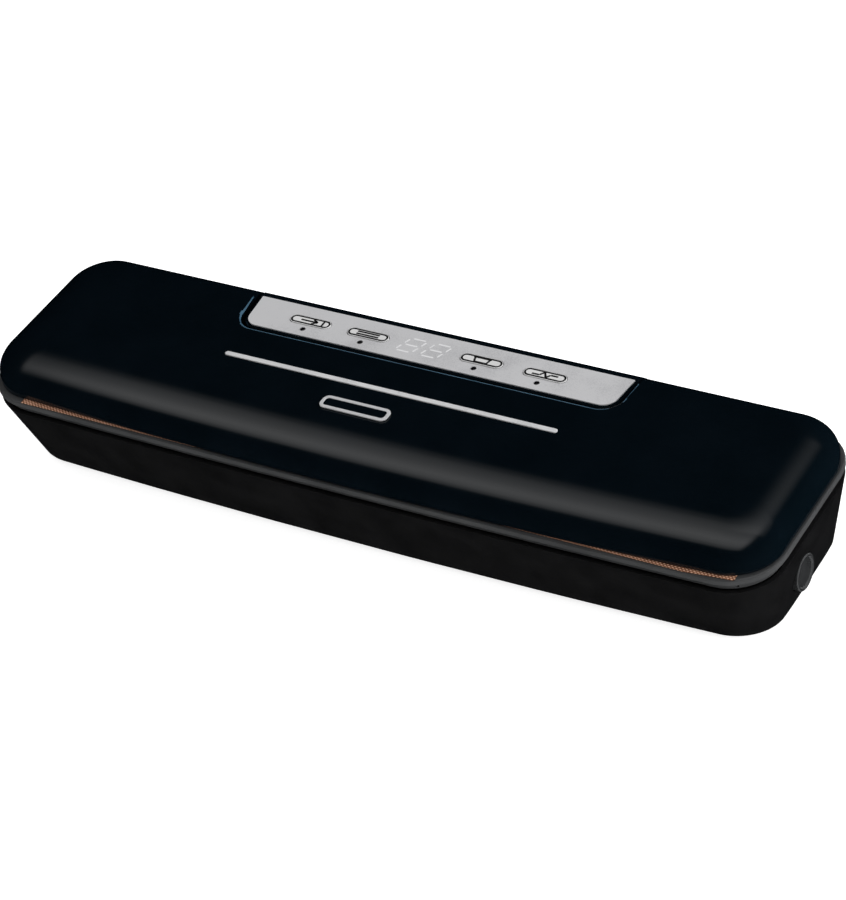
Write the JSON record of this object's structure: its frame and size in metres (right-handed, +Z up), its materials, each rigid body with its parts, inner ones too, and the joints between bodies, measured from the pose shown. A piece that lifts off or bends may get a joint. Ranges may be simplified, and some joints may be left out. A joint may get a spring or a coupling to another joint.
{
  "type": "vacuum sealer",
  "caption": "Slim household bag sealer: black base, hinged glossy navy lid and a raised silver control panel with push buttons and a small display.",
  "frame": {"origin": "centre of the sealer's footprint, on the plane its feet stand on", "axes": "+X along the sealer to its right end, -Y to the front edge with the sealing bar, +Z up"},
  "size_m": [0.3926, 0.103, 0.0625],
  "materials": {
    "navy": "polished injection-moulded ABS, very dark navy",
    "black": "fine-textured black moulding",
    "rim": "satin dark grey moulding",
    "silver": "fine-grained silver metallised face",
    "bright": "bright silver strip",
    "lens": "translucent silver-grey lens",
    "lamp": "dark smoked light guide",
    "tape": "brown PTFE-coated glass cloth",
    "rubber": "black rubber",
    "foam": "closed-cell sealing foam",
    "silicone": "red silicone strip",
    "steel": "plain steel",
    "board": "glass-epoxy board with green resist",
    "resin": "heat-resistant black resin",
    "hose": "milky flexible hose"
  },
  "bodies": {
    "base": {"base_deck": "rim", "base_screw_1": "steel", "base_screw_2": "steel", "base_screw_3": "steel", "base_screw_4": "steel", "base_tub": "black", "control_board": "board", "control_console": "navy", "display_window": "lens", "fascia_plate": "silver", "foot_fl": "rubber", "foot_fr": "rubber", "foot_rl": "rubber", "foot_rr": "rubber", "heating_strip": "steel", "hinge_pin_left": "steel", "hinge_pin_right": "steel", "indicator_lamp_1": "lamp", "indicator_lamp_2": "lamp", "indicator_lamp_3": "lamp", "indicator_lamp_4": "lamp", "inlet_pin_left": "bright", "inlet_pin_right": "bright", "intake_nozzle": "resin", "lower_gasket": "foam", "power_board": "board", "power_inlet": "black", "power_transformer": "resin", "ptfe_tape": "tape", "pump_head": "resin", "pump_motor": "steel", "seal_bar": "resin", "tact_switch_1": "resin", "tact_switch_2": "resin", "tact_switch_3": "resin", "tact_switch_4": "resin", "vacuum_hose": "hose", "vacuum_tray": "black"},
    "lid": {"lid_shell": "navy", "lid_liner": "black", "upper_gasket": "foam", "press_bar": "silicone", "trim_strip": "bright", "lid_badge": "silver", "catch_hook_left": "black", "catch_hook_right": "black", "liner_screw_1": "steel", "liner_screw_2": "steel", "liner_screw_3": "steel", "liner_screw_4": "steel"},
    "push_button_1": {"button_1": "silver"},
    "push_button_2": {"button_2": "silver"},
    "push_button_3": {"button_3": "silver"},
    "push_button_4": {"button_4": "silver"},
    "release_left": {"release_button_left": "black", "release_latch_left": "steel"},
    "release_right": {"release_button_right": "black", "release_latch_right": "steel"}
  },
  "joints": [
    {"name": "lid_hinge", "type": "hinge", "parent": "base", "child": "lid", "pos_m": [0, 0.047, 0.048], "axis": [-1, 0, 0], "range_deg": [0, 75]},
    {"name": "button_1_press", "type": "slide", "parent": "base", "child": "push_button_1", "axis": [0, 0, -1], "range_m": [0, 0.0005], "stiffness_N_per_m": 300, "springref_m": -0.001},
    {"name": "button_2_press", "type": "slide", "parent": "base", "child": "push_button_2", "axis": [0, 0, -1], "range_m": [0, 0.0005], "stiffness_N_per_m": 300, "springref_m": -0.001},
    {"name": "button_3_press", "type": "slide", "parent": "base", "child": "push_button_3", "axis": [0, 0, -1], "range_m": [0, 0.0005], "stiffness_N_per_m": 300, "springref_m": -0.001},
    {"name": "button_4_press", "type": "slide", "parent": "base", "child": "push_button_4", "axis": [0, 0, -1], "range_m": [0, 0.0005], "stiffness_N_per_m": 300, "springref_m": -0.001},
    {"name": "release_left_press", "type": "slide", "parent": "base", "child": "release_left", "axis": [1, 0, 0], "range_m": [0, 0.002], "stiffness_N_per_m": 400, "springref_m": -0.002},
    {"name": "release_right_press", "type": "slide", "parent": "base", "child": "release_right", "axis": [-1, 0, 0], "range_m": [0, 0.002], "stiffness_N_per_m": 400, "springref_m": -0.002}
  ]
}
